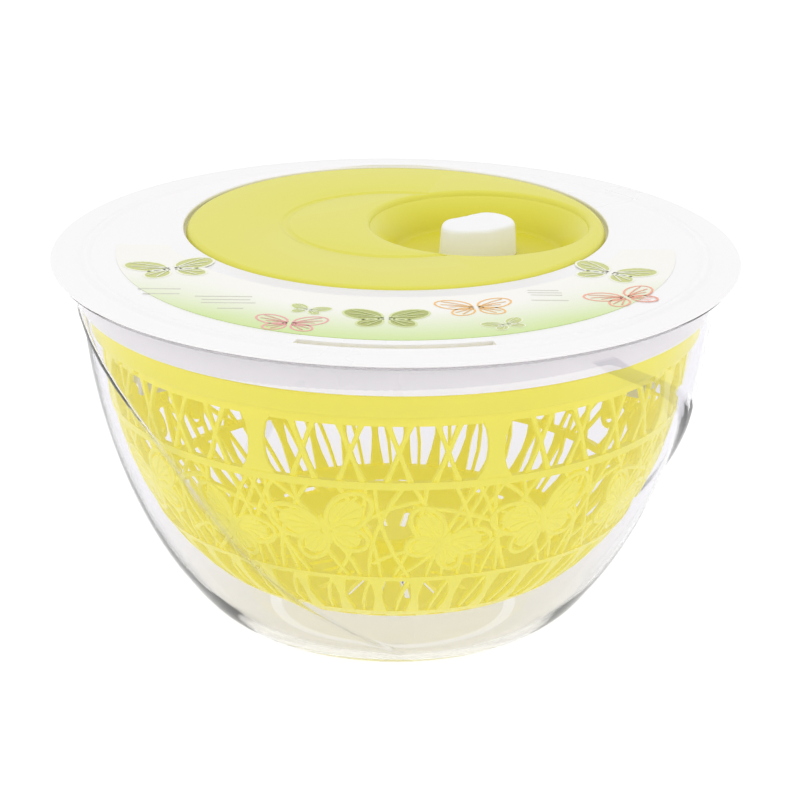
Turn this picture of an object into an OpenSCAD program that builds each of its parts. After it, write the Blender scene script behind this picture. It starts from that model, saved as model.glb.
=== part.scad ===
// Salad spinner: a clear bowl, a perforated basket turning on a post in it, and a lid
// whose offset crank disc drives the basket through an internal ring gear and a pinion.
// Millimetres. +Z is up, the origin is under the bowl's centre, and the crank disc is
// set back from the bowl's axis along +Y.

/* [Bowl] */
// Outer radius of the bowl's wall where it meets the flange
bowl_r = 118; // [117:1:145]
// Radius of the foot that the bowl stands on
bowl_foot_r = 48; // [40:1:60]
// Height of the wall, up to the flange's underside
bowl_h = 137.6; // [130:0.1:170]
// Wall thickness of the bowl
bowl_wall = 2.2; // [1.6:0.1:3]
// How far the flange stands out from the wall
flange_w = 6.5; // [4:0.1:9]
// Thickness of the flange
flange_t = 1.7; // [1.2:0.1:2.5]
// Height of the ring foot under the floor
foot_ring_h = 0.8; // [0.4:0.1:1.5]
// Radius of the post that the basket turns on
post_r = 4; // [3:0.1:5]
// Height of the post's tip above the table
post_top = 26.8; // [24:0.1:30]

/* [Lid] */
// How far the lid reaches past the bowl's flange
lid_overhang = 1.5; // [0.5:0.1:3]
// Thickness of the lid's plate
lid_t = 1.5; // [1.2:0.1:2.5]
// How far the outer band lies below the middle of the lid
band_drop = 0.4; // [0.2:0.1:0.6]
// Width of the raised bead round the lid
bead_w = 3.4; // [2:0.1:5]
// Height of the raised bead above the middle of the lid
bead_h = 0.7; // [0.3:0.1:1.2]
// Wall thickness of the skirt inside the bowl
skirt_t = 2; // [1.4:0.1:3]
// Length of the skirt below the plate
skirt_h = 14; // [10:0.5:15]
// Wall thickness of the pan that holds the crank disc
pan_t = 1.8; // [1.4:0.1:2.4]
// Radial width of the drain slot
slot_w = 5.2; // [4.6:0.1:7]
// Half of the angle that the drain slot covers
slot_half_deg = 17.9; // [10:0.1:30]
// Thickness of the printed label
label_t = 0.2; // [0.1:0.05:0.4]
// Width of bare lid between the label and the bead
label_margin = 9.3; // [6:0.1:14]
// Width of bare lid between the label and the crank disc
label_gap = 9.8; // [6:0.1:14]

/* [Crank disc] */
// Radius of the crank disc
disc_r = 78.7; // [76:0.1:80]
// Thickness of the disc's moulding
disc_t = 2; // [1.5:0.1:2.5]
// Depth of the disc's edge, top to bottom
disc_edge_h = 6.8; // [5:0.1:8]
// Rounding of the disc's edge
disc_round = 2.8; // [1:0.1:4]
// How far the disc stands above the lid
disc_proud = 0.3; // [0:0.1:1]
// Radius of the well's mouth
well_r = 41.2; // [36:0.1:42]
// Radius of the well's floor
well_floor_r = 32; // [26:0.1:34]
// Depth of the well
well_depth = 12.1; // [10:0.1:13]
// Place of the well across the disc
well_x = 31.3; // [26:0.1:32]
// Place of the well along the disc
well_y = 3.2; // [0:0.1:6]
// Rounding of the well's lip
well_round = 2.4; // [1:0.1:3]
// Mean radius of the shallow groove round the disc's middle
groove_r = 41.7; // [36:0.1:60]
// Width of the shallow groove
groove_w = 3.2; // [1:0.1:5]
// Depth of the shallow groove
groove_d = 0.5; // [0.2:0.1:0.9]

/* [Knob] */
// Length of the knob
knob_l = 29; // [24:0.5:34]
// Width of the knob
knob_w = 27; // [22:0.5:30]
// Wall thickness of the knob
knob_wall = 2; // [1.5:0.1:3]
// Radius of the knob's spindle
spindle_r = 4; // [3:0.1:5]

/* [Gears] */
// Gear module
gear_m = 1.5; // [1.4:0.05:1.5]
// Teeth of the ring gear
ring_teeth = 63; // [60:1:63]
// Teeth of the pinion
pinion_teeth = 20; // [18:1:22]
// Play between meshing flanks
backlash = 0.2; // [0.1:0.05:0.4]
// Face width of the pinion
pinion_w = 6.8; // [5:0.1:8]
// Thickness of the ring gear's web
web_t = 3.2; // [2.6:0.1:4]
// Radius of the disc's axle
axle_r = 6; // [5:0.1:7]
// Radius of the pinion's shaft
shaft_r = 5; // [4.5:0.1:6]
// Wall thickness of the plain bushes
bush_t = 1.6; // [1:0.1:2]
// Thickness of the bushes' flanges
bush_flange_t = 1.4; // [1:0.1:2]

/* [Basket] */
// Wall thickness of the basket
basket_wall = 2.2; // [1.6:0.1:3]
// Radius of the basket's flat floor
basket_foot_r = 50; // [44:1:56]
// Height of the basket's floor above the table
basket_z = 19.4; // [17:0.1:22]
// Height of the basket's plain rim band
basket_band_h = 11.6; // [10.8:0.1:14]
// Windows in each row
window_count = 24; // [18:1:30]
// Share of each row that is open
window_share = 0.62; // [0.4:0.01:0.7]
// Height of the upper rail between two rows of windows
upper_rail_h = 2.9; // [2:0.1:4]
// Height of the lower rail between two rows of windows
lower_rail_h = 2.2; // [2:0.1:4]

/* [Driver] */
// Arms of the driver
arm_count = 3; // [3:1:4]
// Width of an arm
arm_w = 12; // [8:0.5:16]
// Thickness of an arm
arm_t = 3; // [2:0.1:4]
// Height of the driver's posts
driver_post_h = 14; // [12:0.5:14.5]
// Thickness of the basket's dogs beside each post
dog_t = 4; // [3:0.1:6]

/* [Fits] */
// Radial clearance of a shaft in its bush
run_fit = 0.06; // [0.02:0.01:0.1]
// Radial clearance of a part pressed or screwed into another
seat_fit = 0.03; // [0.02:0.01:0.06]
// End play between turning faces
end_play = 0.1; // [0.05:0.05:0.2]
// Gap between the lid and the bowl's flange
lid_gap = 0.2; // [0.1:0.05:0.5]
// Radial gap between the lid's skirt and the bowl
skirt_gap = 0.4; // [0.3:0.1:1]
// Gap between the basket's rim and the lid's skirt
rim_gap = 1; // [0.6:0.1:2]
// Radial gap round the crank disc
disc_gap = 1; // [0.6:0.1:1.5]
// Room round the turning gear and under the well
gear_room = 1.1; // [0.8:0.1:1.5]
// Play at each side of a driver post
dog_play = 0.5; // [0.3:0.1:1]

/* [Hidden] */
$fn = 96;
eps = 0.01;
lime = [0.86, 0.85, 0.24];
white = [0.97, 0.96, 0.95];
acetal = [0.93, 0.93, 0.90];
steel = [0.72, 0.73, 0.75];

// Fasteners: shank radius, head radius and head height of the thread-forming screws
screw_r = 1.3;
screw_head_r = 2.6;
screw_head_h = 1.6;
screw_reach = 6;
washer_t = 1;
housing_screw_turn = [45 : 90 : 315];
gear_screw_turn = [95, 185, 275];
gear_screw_r = 36;

// Gaps and walls inside the drive that are not meant to be changed
web_clear = 0.6;
ring_wall = 4.4;
ledge_gap = 1.5;
deep_gap = 2.2;
flange_reach = 8;
pinion_boss_h = 3;
disc_boss_gap = 0.5;
pocket_h = 4.4;
boss_wall = 2.6;
collar_w = 2.4;
bush_flange_w = 1.8;
arm_gap = 0.6;
through = 30;

// Heights, from the table up
bowl_top = bowl_h + flange_t;
lid_z = bowl_top + lid_gap;
lid_top = lid_z + lid_t;
disc_top = lid_top + disc_proud;
disc_low = disc_top - disc_edge_h;
well_floor = disc_top - well_depth;
well_under = well_floor - disc_t;
web_low = well_under - web_t;
pinion_top = web_low - web_clear;
pinion_low = pinion_top - pinion_w;
housing_floor = pinion_low - end_play - bush_flange_t;
housing_low = housing_floor - pan_t;
ledge_z = disc_low - ledge_gap;
deep_z = well_under - deep_gap;
deep_low = deep_z - pan_t;
skirt_low = lid_z - skirt_h;
basket_top = skirt_low - rim_gap;
basket_h = basket_top - basket_band_h - basket_z;

// The bowl's and the lid's radii
flange_r = bowl_r + flange_w;
lid_r = flange_r + lid_overhang;
bowl_in_r = bowl_r - bowl_wall;
skirt_r = side_r(bowl_foot_r, bowl_r, sqrt(skirt_low / bowl_h)) - bowl_wall - skirt_gap;
bead_r = skirt_r - bead_w / 2;
slot_out_r = skirt_r - skirt_t - 1;
label_r = bead_r - bead_w / 2 - label_margin;

// The gear pair sets how far the disc lies behind the bowl's axis
ring_pitch_r = gear_m * ring_teeth / 2;
pinion_pitch_r = gear_m * pinion_teeth / 2;
disc_y = ring_pitch_r - pinion_pitch_r;
ring_root_r = ring_pitch_r + 1.25 * gear_m;
ring_r = ring_root_r + ring_wall;
housing_r = ring_r + gear_room;
well_off = norm([well_x, well_y]);
well_slope = (well_r - well_floor_r) / well_depth;
pan_r = disc_r + disc_gap;
deep_r = well_off + well_floor_r + disc_t + well_slope * (ledge_z - well_under) + gear_room;
housing_flange_r = housing_r + flange_reach;
housing_screw_r = housing_r + flange_reach - 3;
housing_screw_z = deep_low - pan_t;
disc_bush_r = axle_r + run_fit + bush_t;
pinion_bush_r = shaft_r + run_fit + bush_t;
disc_boss_top = web_low - end_play - bush_flange_t - disc_boss_gap;
disc_collar_low = disc_boss_top + bush_flange_t + end_play;
disc_pocket_top = housing_low + pocket_h;
axle_end = disc_pocket_top - end_play;
collar_r = axle_r + collar_w;
knob_bush_r = spindle_r + run_fit + bush_t;
knob_hole_r = knob_bush_r + 1.84;
knob_low = well_floor + 0.3;
knob_top = disc_top + 0.7;

// The basket's and the driver's radii
basket_rim_r = skirt_r - skirt_t - 0.9;
basket_r = basket_rim_r - 3.5;
basket_in_r = basket_r - basket_wall;
driver_r = basket_in_r - 1.3;
driver_post_w = 7;
driver_z = housing_low - pinion_boss_h - arm_t - arm_gap;
hub_r = 10;
square_w = 7;
hub_low = driver_z - 3;
journal_low = housing_low - pinion_boss_h - end_play;
arm_turn = 90;
basket_bush_r = post_r + run_fit + bush_t;
basket_hub_r = basket_bush_r + seat_fit + collar_w;
basket_hub_top = post_top + end_play + basket_wall;
basket_hub_low = basket_z - 7;
// Outline of the knob, as shares of its length and width
knob_outline = [[-0.5, -0.35], [-0.5, 0], [-0.42, 0.1], [-0.3, 0.17], [-0.17, 0.27], [-0.05, 0.42],
                [0.06, 0.5], [0.2, 0.49], [0.36, 0.36], [0.47, 0.14], [0.5, -0.08], [0.44, -0.2],
                [0.3, -0.34], [0, -0.5], [-0.12, -0.5], [-0.42, -0.47]];

// Height and radius of a point on a shell's flowing side, from its foot (s = 0) to its top (s = 1)
function side_z(h, s) = h * s * s;
function side_r(foot, top, s) = foot + (top - foot) * pow(1 - pow(1 - s * s, 1.75), 0.54);
function side_point(foot, top, h, s) = [side_r(foot, top, s), side_z(h, s)];
// The same point moved inwards, square to the side, by the wall's thickness
function side_dir(foot, top, h, s) =
    let (a = side_point(foot, top, h, max(s - 0.01, 0)),
         b = side_point(foot, top, h, min(s + 0.01, 1)))
    (b - a) / norm(b - a);
function side_inner(foot, top, h, wall, s) =
    let (d = side_dir(foot, top, h, s))
    side_point(foot, top, h, s) + wall * [-d[1], d[0]];
function side_outline(foot, top, h, n = 24) =
    [for (i = [0 : n]) side_point(foot, top, h, i / n)];
function side_inside(foot, top, h, wall, n = 24) =
    [for (i = [n : -1 : 2]) side_inner(foot, top, h, wall, i / n)];

// Points of an arc in the profile plane
function arc(c, r, a0, a1, n = 6) =
    [for (i = [0 : n]) let (a = a0 + (a1 - a0) * i / n) c + r * [cos(a), sin(a)]];

// Involute gear outline, a tooth pointing along +X
function inv_turn(base, r) = let (a = sqrt(pow(r / base, 2) - 1)) a * 180 / PI - atan(a);
function flank(base, r) = r < base ? 0 : inv_turn(base, r);
function gear_points(teeth, m, tip, root, play) =
    let (pitch = teeth * m / 2, base = pitch * cos(20),
         half = 90 / teeth - play / 4 / pitch * 180 / PI + inv_turn(base, pitch),
         low = max(root, base + 0.01), steps = 3,
         radii = [for (i = [0 : steps]) low + (tip - low) * i / steps])
    [for (k = [0 : teeth - 1]) let (turn = k * 360 / teeth)
        each concat(
            root < low ? [root * [cos(turn - half), sin(turn - half)]] : [],
            [for (r = radii)
                let (a = turn - half + flank(base, r)) r * [cos(a), sin(a)]],
            [for (i = [steps : -1 : 0])
                let (a = turn + half - flank(base, radii[i])) radii[i] * [cos(a), sin(a)]],
            root < low ? [root * [cos(turn + half), sin(turn + half)]] : [])];

module at_disc() translate([0, disc_y, 0]) children();
module at_knob() translate([well_x, disc_y + well_y, 0]) children();
module at_housing_screws() {
    at_disc() for (a = housing_screw_turn) rotate(a) translate([housing_screw_r, 0, 0]) children();
}
module at_gear_screws() {
    for (a = gear_screw_turn) rotate(a) translate([gear_screw_r, 0, 0]) children();
}
module tube(r_out, r_in, z0, z1) {
    translate([0, 0, z0]) difference() {
        cylinder(r = r_out, h = z1 - z0);
        translate([0, 0, -eps]) cylinder(r = r_in, h = z1 - z0 + 2 * eps);
    }
}
// A screw with its head underneath; z is the seat of the head
module screw_up(z, reach) {
    translate([0, 0, z - screw_head_h]) cylinder(r = screw_head_r, h = screw_head_h);
    translate([0, 0, z - eps]) cylinder(r = screw_r, h = reach + eps);
}
// A flanged bush, its flange on top of z
module bush(r_out, r_in, z, length) {
    difference() {
        union() {
            translate([0, 0, z - length]) cylinder(r = r_out, h = length + eps);
            translate([0, 0, z]) cylinder(r = r_out + bush_flange_w, h = bush_flange_t);
        }
        translate([0, 0, z - length - eps])
            cylinder(r = r_in, h = length + bush_flange_t + 2 * eps);
    }
}

// Clear moulded bowl from a ring foot to a flat flange, with the basket's post in its floor
module bowl() {
    floor_top = foot_ring_h + bowl_wall;
    tip_h = post_r * 0.4;
    color([0.85, 0.84, 0.88, 0.35]) union() {
        rotate_extrude($fn = 128) polygon(concat(
            [[0, foot_ring_h], [bowl_foot_r - 6, foot_ring_h], [bowl_foot_r - 5, 0]],
            side_outline(bowl_foot_r, bowl_r, bowl_h),
            [[flange_r, bowl_h], [flange_r, bowl_top], [bowl_in_r, bowl_top]],
            side_inside(bowl_foot_r, bowl_r, bowl_h, bowl_wall),
            [[0, floor_top]]));
        translate([0, 0, floor_top - eps])
            cylinder(r = post_r, h = post_top - tip_h - floor_top + eps);
        translate([0, 0, post_top - tip_h])
            cylinder(r1 = post_r, r2 = post_r * 0.5, h = tip_h);
    }
}

// Lime basket: a plain rim band, three rows of windows, a slotted floor and a hub on the post
function row_low(row) =
    row == 0 ? basket_z + 7.6 :
    row == 1 ? basket_z + 30.3 :
    basket_z + basket_h - 21.4;
function row_high(row) =
    row == 0 ? row_low(1) - lower_rail_h :
    row == 1 ? row_low(2) - upper_rail_h :
    basket_z + basket_h - 0.6;
module window_row(row) {
    high = row_high(row) - row_low(row);
    low_r = side_r(basket_foot_r, basket_r, sqrt((row_low(row) - basket_z) / basket_h));
    half = low_r * PI / window_count * window_share;
    for (i = [0 : window_count - 1]) rotate(i * 360 / window_count)
        translate([low_r - 14, -half, row_low(row)])
            cube([60, 2 * half, high]);
}
module basket() {
    color(lime) difference() {
        union() {
            rotate_extrude($fn = 128) polygon(concat(
                [[0, basket_z]],
                [for (p = side_outline(basket_foot_r, basket_r, basket_h, 14)) p + [0, basket_z]],
                [[basket_r + 0.6, basket_top - 8.2], [basket_rim_r, basket_top - 8],
                 [basket_rim_r, basket_top - 0.6], [basket_rim_r - 0.6, basket_top],
                 [basket_rim_r - basket_wall, basket_top],
                 [basket_rim_r - basket_wall, basket_top - 6],
                 [basket_in_r, basket_top - basket_band_h]],
                [for (p = side_inside(basket_foot_r, basket_r, basket_h, basket_wall, 14))
                    p + [0, basket_z]],
                [[0, basket_z + basket_wall]]));
            translate([0, 0, basket_hub_low])
                cylinder(r = basket_hub_r, h = basket_hub_top - basket_hub_low);
            basket_dogs();
        }
        for (row = [0 : 2]) window_row(row);
        translate([0, 0, basket_hub_low - eps])
            cylinder(r = basket_bush_r + seat_fit, h = post_top + end_play - basket_hub_low + eps);
        for (i = [0 : 11]) rotate(i * 30 + 15)
            translate([basket_hub_r + 8, -1.5, basket_z - 1]) cube([24, 3, basket_wall + 2]);
    }
}
// Pairs of dogs inside the rim, one at each side of every driver post
module basket_dogs() {
    half = driver_post_w / 2 + dog_play;
    for (i = [0 : arm_count - 1], side = [0, 1]) rotate(arm_turn + i * 360 / arm_count)
        mirror([0, side, 0])
            translate([driver_r - 4, half, basket_top - basket_band_h + 0.4])
                cube([basket_rim_r - basket_wall - driver_r + 4.6, dog_t, basket_band_h - 3.6]);
}
// Acetal bush pressed into the basket's hub
module basket_bush() {
    color(acetal) tube(basket_bush_r, post_r + run_fit, basket_hub_low + 0.5, post_top - 2);
}

// White lid: plate with a bead, a skirt inside the bowl, and a two-step pan for the crank disc
module lid() {
    band_top = lid_top - band_drop;
    color(white) difference() {
        union() {
            difference() {
                rotate_extrude($fn = 128) polygon(concat(
                    [[0, lid_z], [lid_r - 0.5, lid_z],
                     [lid_r, lid_z + 0.4], [lid_r, band_top - 0.4],
                     [lid_r - 0.5, band_top], [bead_r + bead_w / 2 + 0.8, band_top]],
                    arc([bead_r, lid_top + bead_h - bead_w / 2], bead_w / 2, 40, 140),
                    [[bead_r - bead_w / 2 - 0.6, lid_top], [0, lid_top]]));
                at_disc() translate([0, 0, lid_z - 1]) cylinder(r = pan_r, h = lid_t + 3);
            }
            tube(skirt_r, skirt_r - skirt_t, skirt_low, lid_z + eps);
            intersection() {
                at_disc() pan_walls();
                translate([0, 0, housing_low])
                    cylinder(r = skirt_r - eps, h = lid_top - housing_low);
            }
            at_housing_screws() translate([0, 0, deep_low]) cylinder(r = 3.2, h = pan_t + 1.2);
        }
        drain_slot();
        at_housing_screws() translate([0, 0, deep_low - eps])
            cylinder(r = screw_r + seat_fit, h = pan_t + 0.7);
    }
}
module pan_walls() {
    tube(pan_r + pan_t, pan_r, ledge_z - pan_t, lid_top);
    tube(pan_r + eps, deep_r, ledge_z - pan_t, ledge_z);
    tube(deep_r + pan_t, deep_r, deep_low, ledge_z);
    tube(deep_r + eps, housing_r, deep_low, deep_z);
}
module drain_slot() {
    rotate(270 - slot_half_deg)
        translate([0, 0, lid_z - 1]) rotate_extrude(angle = 2 * slot_half_deg)
            translate([slot_out_r - slot_w, 0]) square([slot_w, lid_t + 3]);
}
// Printed label, a crescent in front of the crank disc
module label() {
    color([0.93, 0.95, 0.80]) translate([0, 0, lid_top]) difference() {
        intersection() {
            cylinder(r = label_r, h = label_t);
            translate([-label_r, -label_r - 1, -1]) cube([2 * label_r, label_r + 4, label_t + 2]);
        }
        translate([0, disc_y, -1]) cylinder(r = disc_r + label_gap, h = label_t + 2);
    }
}

// White gear housing, a cup screwed under the lid's pan, with a boss for each bearing
module gear_housing() {
    color(white) difference() {
        union() {
            at_disc() tube(housing_r + pan_t, housing_r, housing_low, deep_low);
            at_disc() tube(housing_flange_r, housing_r, deep_low - pan_t, deep_low);
            at_disc() translate([0, 0, housing_low]) cylinder(r = housing_r + eps, h = pan_t);
            at_disc() translate([0, 0, housing_low])
                cylinder(r = disc_bush_r + boss_wall + 0.8, h = disc_boss_top - housing_low);
            translate([0, 0, housing_low - pinion_boss_h])
                cylinder(r = pinion_bush_r + boss_wall, h = pinion_boss_h + pan_t);
        }
        at_disc() translate([0, 0, housing_low - 1])
            cylinder(r = disc_bush_r + seat_fit, h = through);
        at_disc() translate([0, 0, housing_low - eps])
            cylinder(r = disc_bush_r + bush_t, h = disc_pocket_top - housing_low);
        translate([0, 0, housing_low - pinion_boss_h - 1])
            cylinder(r = pinion_bush_r + seat_fit, h = through);
        at_housing_screws() translate([0, 0, housing_screw_z - 1])
            cylinder(r = screw_r + seat_fit, h = pan_t + 2);
    }
}
module housing_screws() {
    color(steel) at_housing_screws() screw_up(housing_screw_z, 2 * pan_t + 0.4);
}
module disc_bush() {
    color(acetal) at_disc()
        bush(disc_bush_r, axle_r + run_fit, disc_boss_top, disc_boss_top - disc_pocket_top);
}
module pinion_bush() {
    color(acetal) bush(pinion_bush_r, shaft_r + run_fit, housing_floor, pan_t + pinion_boss_h);
}

// Lime crank disc: plate with a rolled edge, the finger well, and the axle under it
module turning_disc() {
    lip_r = well_r + 0.9 * well_round;
    color(lime) at_disc() difference() {
        union() {
            rotate_extrude($fn = 128) polygon(concat(
                [[0, disc_top - disc_t], [disc_r - disc_t, disc_top - disc_t],
                 [disc_r - disc_t, disc_low], [disc_r, disc_low]],
                arc([disc_r - disc_round, disc_top - disc_round], disc_round, 0, 90),
                [[0, disc_top]]));
            translate([well_x, well_y, 0]) rotate_extrude() polygon([
                [0, well_under], [well_floor_r + disc_t, well_under],
                [well_r + disc_t, disc_top - disc_t], [well_r + disc_t, disc_top - eps],
                [0, disc_top - eps]]);
            translate([0, 0, disc_collar_low])
                cylinder(r = collar_r, h = well_under - disc_collar_low + 1);
            translate([0, 0, axle_end]) cylinder(r = axle_r, h = well_under - axle_end + 1);
            at_gear_screws() translate([0, 0, well_under])
                cylinder(r = 3.6, h = disc_top - disc_t - well_under + eps);
        }
        translate([well_x, well_y, 0]) rotate_extrude() polygon(concat(
            [[0, well_floor], [well_floor_r, well_floor],
             [well_r - 0.6 * well_round, disc_top - well_round]],
            arc([lip_r, disc_top - well_round], well_round, 165, 90),
            [[lip_r, disc_top + 1], [0, disc_top + 1]]));
        translate([0, 0, disc_top - groove_d]) rotate_extrude()
            translate([groove_r - groove_w / 2, 0]) square([groove_w, 2]);
        translate([well_x, well_y, well_under - 1])
            cylinder(r = knob_bush_r + seat_fit, h = disc_t + 2);
        translate([0, 0, axle_end - 1])
            cylinder(r = screw_r + seat_fit, h = screw_reach + 2.4);
        at_gear_screws() translate([0, 0, well_under - 1])
            cylinder(r = screw_r + seat_fit, h = screw_reach);
    }
}
// Acetal ring gear: internal teeth under a web that screws to the crank disc
module ring_gear() {
    color(acetal) at_disc() difference() {
        translate([0, 0, housing_floor + gear_room])
            cylinder(r = ring_r, h = well_under - housing_floor - gear_room);
        translate([0, 0, housing_floor]) rotate(-90) linear_extrude(web_low - housing_floor)
            polygon(gear_points(ring_teeth, gear_m,
                ring_root_r, ring_pitch_r - 0.9 * gear_m, -backlash));
        translate([0, 0, housing_floor]) cylinder(r = collar_r + seat_fit, h = through);
        translate([well_x, well_y, web_low - 1]) cylinder(r = knob_hole_r, h = web_t + 2);
        at_gear_screws() translate([0, 0, web_low - 1]) {
            cylinder(r = screw_r + seat_fit, h = web_t + 2);
            cylinder(r = screw_head_r + seat_fit, h = screw_head_h + 1);
        }
    }
}
module ring_gear_screws() {
    color(steel) at_disc() at_gear_screws()
        screw_up(web_low + screw_head_h, web_t - screw_head_h + screw_reach - 2);
}
module disc_washer() {
    color(steel) at_disc()
        tube(disc_bush_r + 1.2, screw_r + seat_fit, axle_end - washer_t, axle_end);
}
module disc_screw() {
    color(steel) at_disc() screw_up(axle_end - washer_t, screw_reach + washer_t);
}
module knob_bush() {
    color(acetal) at_knob() difference() {
        union() {
            translate([0, 0, well_under]) cylinder(r = knob_bush_r, h = disc_t + eps);
            translate([0, 0, well_floor]) cylinder(r = knob_bush_r + 1.2, h = 0.8);
        }
        translate([0, 0, well_under - 1]) cylinder(r = spindle_r + run_fit, h = disc_t + 4);
    }
}

// Acetal pinion on the bowl's axis, with a round journal and a square end for the driver
module pinion() {
    color(acetal) difference() {
        union() {
            translate([0, 0, pinion_low]) rotate(-90) linear_extrude(pinion_w)
                polygon(gear_points(pinion_teeth, gear_m,
                    pinion_pitch_r + 0.95 * gear_m, pinion_pitch_r - 1.25 * gear_m, backlash));
            translate([0, 0, journal_low])
                cylinder(r = shaft_r, h = pinion_low - journal_low + 1);
            translate([-square_w / 2, -square_w / 2, hub_low])
                cube([square_w, square_w, pinion_low - hub_low]);
        }
        translate([0, 0, hub_low - eps]) cylinder(r = screw_r + seat_fit, h = screw_reach + 1);
    }
}
// White driver: a hub on the square shaft, and arms whose posts push the basket's dogs
module driver() {
    hole_w = square_w + 2 * seat_fit;
    color(white) difference() {
        union() {
            translate([0, 0, hub_low]) cylinder(r = hub_r, h = driver_z + arm_t - hub_low - 0.2);
            for (i = [0 : arm_count - 1]) rotate(arm_turn + i * 360 / arm_count) {
                translate([0, -arm_w / 2, driver_z])
                    cube([driver_r * 0.55, arm_w, arm_t]);
                translate([driver_r * 0.5, -driver_post_w / 2, driver_z])
                    cube([driver_r * 0.5 - 1, driver_post_w, arm_t]);
                translate([driver_r * 0.3, -1.2, driver_z - 4])
                    cube([driver_r * 0.7 - 1, 2.4, 4 + eps]);
                translate([driver_r - 7, -driver_post_w / 2, driver_z])
                    cube([7, driver_post_w, driver_post_h]);
            }
        }
        translate([-hole_w / 2, -hole_w / 2, hub_low - 1]) cube([hole_w, hole_w, through]);
    }
}
module driver_washer() {
    color(steel) tube(7.5, screw_r + seat_fit, hub_low - washer_t, hub_low);
}
module driver_screw() {
    color(steel) screw_up(hub_low - washer_t, screw_reach + washer_t - 1);
}

// White knob in the well, hollow underneath, turning on its own spindle
module knob_block(inset, z0, z1) {
    size = [knob_l - 2 * inset, knob_w - 2 * inset];
    translate([0, 0, z0]) linear_extrude(z1 - z0)
        polygon([for (p = knob_outline) [p[0] * size[0], p[1] * size[1]]]);
}
module knob() {
    color(white) at_knob() difference() {
        union() {
            difference() {
                union() {
                    knob_block(0, knob_low, knob_top - 1.2);
                    knob_block(0.6, knob_low, knob_top - 0.4);
                    knob_block(1.2, knob_low, knob_top);
                }
                knob_block(knob_wall + 1, knob_low - 1, knob_top - knob_wall);
            }
            translate([0, 0, well_under - end_play])
                cylinder(r = spindle_r, h = knob_top - 1 - well_under);
            translate([0, 0, well_floor + 0.8 + end_play])
                cylinder(r = spindle_r + 2.6, h = knob_top - 1 - well_floor - 0.8);
        }
        translate([0, 0, well_under - 1]) cylinder(r = screw_r + seat_fit, h = screw_reach + 3);
    }
}
module knob_washer() {
    color(steel) at_knob() translate([0, 0, well_under - end_play])
        tube(knob_bush_r + 0.34, screw_r + seat_fit, -washer_t, 0);
}
module knob_screw() {
    color(steel) at_knob() screw_up(well_under - end_play - washer_t, screw_reach + washer_t);
}

bowl();
basket();
basket_bush();
lid();
label();
gear_housing();
housing_screws();
disc_bush();
pinion_bush();
turning_disc();
ring_gear();
ring_gear_screws();
disc_washer();
disc_screw();
knob_bush();
pinion();
driver();
driver_washer();
driver_screw();
knob();
knob_washer();
knob_screw();
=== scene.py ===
import bmesh
import bpy
from math import atan, cos, degrees, hypot, pi, radians, sin
from mathutils import Matrix, Vector


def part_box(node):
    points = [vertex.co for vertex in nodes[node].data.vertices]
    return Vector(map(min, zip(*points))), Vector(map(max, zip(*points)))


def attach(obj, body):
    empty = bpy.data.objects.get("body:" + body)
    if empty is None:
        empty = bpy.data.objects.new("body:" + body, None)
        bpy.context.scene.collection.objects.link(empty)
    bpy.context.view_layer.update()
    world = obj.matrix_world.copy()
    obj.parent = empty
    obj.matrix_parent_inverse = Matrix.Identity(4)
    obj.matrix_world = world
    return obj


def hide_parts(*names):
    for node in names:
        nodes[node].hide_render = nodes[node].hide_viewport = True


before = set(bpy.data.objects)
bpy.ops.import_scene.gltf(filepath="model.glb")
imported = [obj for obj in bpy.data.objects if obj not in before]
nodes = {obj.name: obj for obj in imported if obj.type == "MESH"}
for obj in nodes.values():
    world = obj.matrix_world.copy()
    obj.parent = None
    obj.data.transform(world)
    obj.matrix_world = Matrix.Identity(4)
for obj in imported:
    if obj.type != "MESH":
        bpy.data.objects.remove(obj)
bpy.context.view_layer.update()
bpy.ops.object.select_all(action="DESELECT")
mm = 0.001

# --- Camera ---------------------------------------------------------------------------------
# It stands in front of the spinner, a little above the lid, and looks at a point below the
# rim's middle, so the lid shows as a wide ellipse and the bowl's foot is nearly hidden.
lid_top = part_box("label")[0].z
camera_far = 1.163
camera_rise = radians(17.3)
sensor_w = 36
lens_length = 142.74
aim_down = atan(6.75 / lens_length)
aim_right = atan(0.27 / lens_length)
camera_roll = 0.010
camera = bpy.data.objects.new("camera", bpy.data.cameras.new("camera"))
bpy.context.scene.collection.objects.link(camera)
camera.data.sensor_width = sensor_w
camera.data.lens = lens_length
camera.data.clip_end = 20
camera.matrix_world = (
    Matrix.Translation((0, -camera_far * cos(camera_rise),
                        lid_top + camera_far * sin(camera_rise)))
    @ Matrix.Rotation(-aim_right, 4, "Z")
    @ Matrix.Rotation(pi / 2 - camera_rise - aim_down, 4, "X")
    @ Matrix.Rotation(camera_roll, 4, "Z")
)
bpy.context.scene.camera = camera

# --- Studio ---------------------------------------------------------------------------------
# A glowing white table under the spinner, a surround that is bright behind it and dimmer in
# front, a wide softbox overhead and two softer ones from the sides.
bpy.context.scene.view_settings.view_transform = "Standard"
world = bpy.data.worlds.new("studio")
bpy.context.scene.world = world
world.use_nodes = True
surround = world.node_tree.nodes["Background"]
surround.inputs["Color"].default_value = (0.98, 0.98, 1, 1)
facing = world.node_tree.nodes.new("ShaderNodeTexCoord")
facing_split = world.node_tree.nodes.new("ShaderNodeSeparateXYZ")
world.node_tree.links.new(facing.outputs["Generated"], facing_split.inputs["Vector"])
behind = world.node_tree.nodes.new("ShaderNodeMapRange")
behind.inputs["From Min"].default_value = -0.9
behind.inputs["From Max"].default_value = 0.2
behind.inputs["To Min"].default_value = 0.9
behind.inputs["To Max"].default_value = 1.0
world.node_tree.links.new(facing_split.outputs["Y"], behind.inputs["Value"])
world.node_tree.links.new(behind.outputs["Result"], surround.inputs["Strength"])


spinner_middle = Vector((0, 0, 0.08))


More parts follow.
